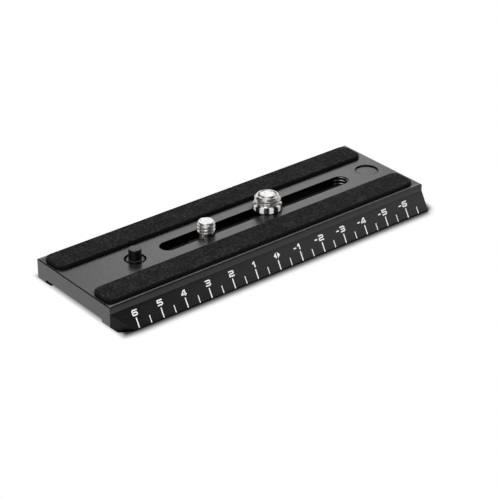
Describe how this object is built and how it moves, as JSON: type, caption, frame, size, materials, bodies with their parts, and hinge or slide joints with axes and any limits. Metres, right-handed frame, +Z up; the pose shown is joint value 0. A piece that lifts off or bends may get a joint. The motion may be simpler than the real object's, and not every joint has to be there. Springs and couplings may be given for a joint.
{
  "type": "tripod quick release plate",
  "caption": "Long dovetail camera plate with a lengthwise slot, captive camera screws, a spring anti-twist pin, rubber grip strips and a side scale.",
  "frame": {"origin": "middle of the plate's base, on the plane that the two feet stand on", "axes": "+X along the plate from its nose with the anti-twist pin to its square tail, +Y away from the side with the scale, +Z up through the camera screws"},
  "size_m": [0.139, 0.0494, 0.0154],
  "materials": {
    "anodised_plate": "black anodised, satin",
    "grip_rubber": "fine grained, matt",
    "pin_black": "blackened, worn tip",
    "sleeve_metal": "turned, dull",
    "spring_steel": "drawn wire",
    "screw_nickel": "nickel plated steel",
    "bush_nickel": "nickel plated steel",
    "washer_nylon": "black nylon",
    "stop_black": "black oxide"
  },
  "bodies": {
    "plate": {"plate_body": "anodised_plate", "front_pad": "grip_rubber", "rear_pad": "grip_rubber", "pin_sleeve": "sleeve_metal", "pin_cap": "sleeve_metal", "pin_spring": "spring_steel", "stop_screws": "stop_black"},
    "pin": {"anti_twist_pin": "pin_black"},
    "small_screw_carrier": {"washer_1_4": "washer_nylon"},
    "small_screw": {"screw_1_4": "screw_nickel"},
    "large_screw_carrier": {"washer_3_8": "washer_nylon"},
    "large_screw": {"screw_3_8": "screw_nickel", "bush_3_8": "bush_nickel"}
  },
  "joints": [
    {"name": "pin_press", "type": "slide", "parent": "plate", "child": "pin", "axis": [0, 0, -1], "range_m": [0, 0.003], "stiffness_N_per_m": 500, "springref_m": -0.002, "deforming": ["pin_spring"]},
    {"name": "small_screw_slide", "type": "slide", "parent": "plate", "child": "small_screw_carrier", "axis": [1, 0, 0], "range_m": [-0.0168, 0.0124]},
    {"name": "small_screw_turn", "type": "hinge", "parent": "small_screw_carrier", "child": "small_screw", "pos_m": [-0.0136, 0, 0.0096], "axis": [0, 0, 1], "continuous": true},
    {"name": "large_screw_slide", "type": "slide", "parent": "plate", "child": "large_screw_carrier", "axis": [1, 0, 0], "range_m": [-0.0124, 0.0345]},
    {"name": "large_screw_turn", "type": "hinge", "parent": "large_screw_carrier", "child": "large_screw", "pos_m": [0.0139, 0, 0.0096], "axis": [0, 0, 1], "continuous": true}
  ]
}
